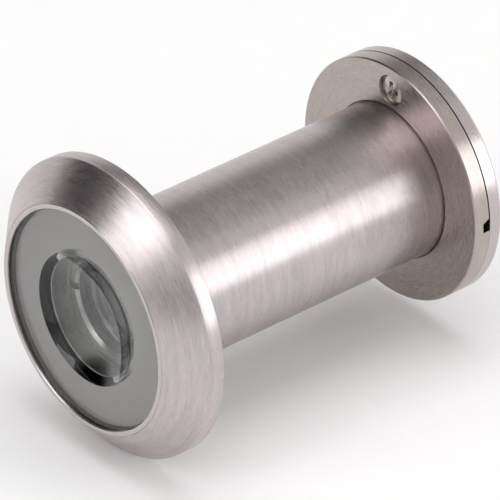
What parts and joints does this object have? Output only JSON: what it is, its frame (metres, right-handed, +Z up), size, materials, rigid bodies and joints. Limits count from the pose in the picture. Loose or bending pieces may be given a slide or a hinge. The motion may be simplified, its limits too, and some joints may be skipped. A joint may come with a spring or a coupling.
{
  "type": "door viewer",
  "caption": "Wide-angle door viewer with a bevelled lens head, a threaded tube that adjusts to the door's thickness, and an inner flange with a swing cover.",
  "frame": {"origin": "on the viewer's axis, in the plane where the head sits on the door's outer face", "axes": "+Y from outdoors to indoors along the tube, +Z up through the cover's pivot"},
  "size_m": [0.0302, 0.0414, 0.0302],
  "materials": {
    "barrel_nickel": "satin nickel plate, brushed round the axis",
    "bezel_nickel": "satin nickel plate",
    "flange_nickel": "satin nickel plate, brushed round the axis",
    "cover_nickel": "satin nickel plate, brushed round the axis",
    "sleeve_nickel": "nickel plate, as cut",
    "objective_glass": "polished",
    "cell_glass": "polished",
    "eyepiece_glass": "polished",
    "blackened_metal": "black anodised, matte",
    "seal_rubber": "matte",
    "screw_steel": "plated",
    "washer_steel": "spring steel",
    "pin_steel": "ground",
    "grey_anodised": "matte grey anodised"
  },
  "bodies": {
    "outer_barrel": {"outer_barrel": "barrel_nickel", "lens_bezel_ring": "bezel_nickel", "objective_lens": "objective_glass", "objective_gasket": "seal_rubber", "mask_ring": "grey_anodised", "lens_cell": "grey_anodised", "cell_lock_ring": "grey_anodised", "second_lens": "cell_glass", "cell_spacer": "grey_anodised", "third_lens": "cell_glass"},
    "rear_flange": {"rear_flange": "flange_nickel", "friction_washer": "washer_steel", "spring_washer": "washer_steel"},
    "inner_sleeve": {"inner_sleeve": "sleeve_nickel", "sleeve_baffle": "blackened_metal", "eyepiece_lens": "eyepiece_glass", "eyepiece_seal": "seal_rubber", "eyepiece_ring": "blackened_metal"},
    "privacy_cover": {"privacy_cover": "cover_nickel", "stop_pin": "pin_steel", "pivot_screw": "screw_steel"}
  },
  "joints": [
    {"name": "thickness_adjust", "type": "slide", "parent": "outer_barrel", "child": "rear_flange", "axis": [0, 1, 0], "range_m": [0, 0.02]},
    {"name": "sleeve_turn", "type": "hinge", "parent": "rear_flange", "child": "inner_sleeve", "pos_m": [0, 0.0333, 0], "axis": [0, 1, 0], "range_deg": [0, 7200]},
    {"name": "cover_swing", "type": "hinge", "parent": "rear_flange", "child": "privacy_cover", "pos_m": [0, 0.0351, 0.01], "axis": [0, -1, 0], "range_deg": [0, 267]}
  ],
  "couplings": [
    {"joint": "thickness_adjust", "follows": "sleeve_turn", "m_per_rad": 0.00015915}
  ]
}
